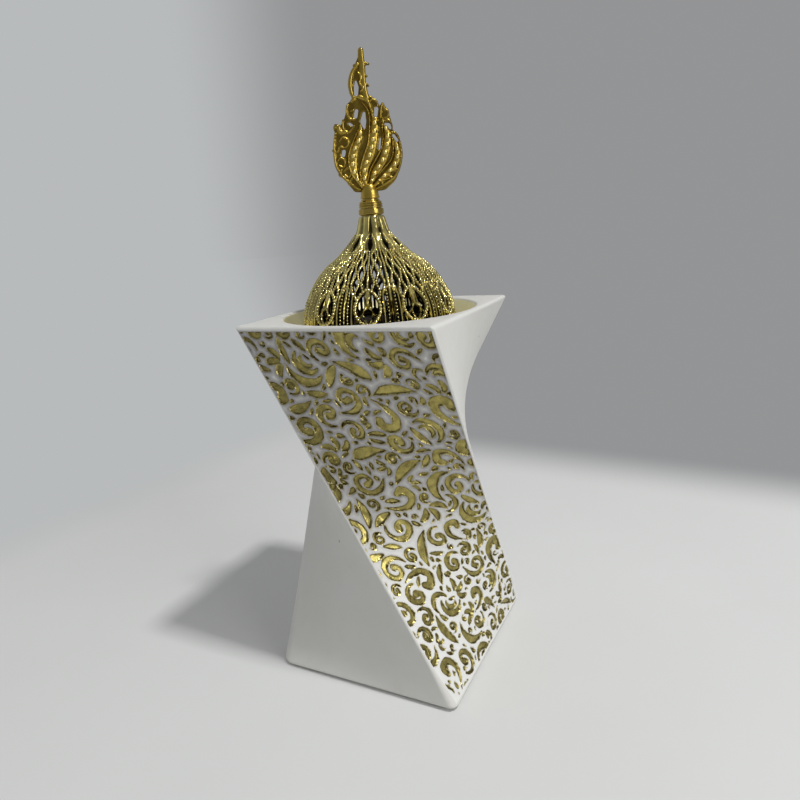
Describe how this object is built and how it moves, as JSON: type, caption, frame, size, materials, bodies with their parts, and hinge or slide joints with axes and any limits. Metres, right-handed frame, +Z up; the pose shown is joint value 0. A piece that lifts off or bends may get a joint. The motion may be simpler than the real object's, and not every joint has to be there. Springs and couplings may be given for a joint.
{
  "type": "incense burner",
  "caption": "Twisted square cast resin incense burner with a round lined well, a lift-out charcoal cup and a lift-off pierced metal dome topped by a flame finial.",
  "frame": {"origin": "middle of the foot, on the surface that the burner stands on", "axes": "+Z up, the square foot and the square rim lined up with X and Y; the face that carries the relief looks to -Y at the rim and to +X at the foot"},
  "size_m": [0.09, 0.09, 0.263],
  "materials": {
    "resin": "matte off-white cast resin",
    "board": "raw hardboard",
    "felt": "felt",
    "tray_gold": "satin gold-coloured metal",
    "cup_steel": "spun, dull",
    "dome_gold": "polished pale gold plating",
    "finial_gold": "satin warm gold plating",
    "screw_steel": "zinc-plated"
  },
  "bodies": {
    "body": {"resin_body": "resin", "base_board": "board", "felt_pad": "felt", "well_tray": "tray_gold"},
    "cup": {"charcoal_cup": "cup_steel"},
    "lid": {"dome_lid": "dome_gold", "collar_ring": "finial_gold", "finial_ferrule": "finial_gold", "flame_finial": "finial_gold", "finial_stud": "screw_steel", "finial_washer": "screw_steel", "finial_nut": "screw_steel"}
  },
  "joints": [
    {"name": "cup_lift", "type": "slide", "parent": "body", "child": "cup", "axis": [0, 0, 1], "range_m": [0, 0.045]},
    {"name": "lid_lift", "type": "slide", "parent": "cup", "child": "lid", "axis": [0, 0, 1], "range_m": [0, 0.065]}
  ]
}
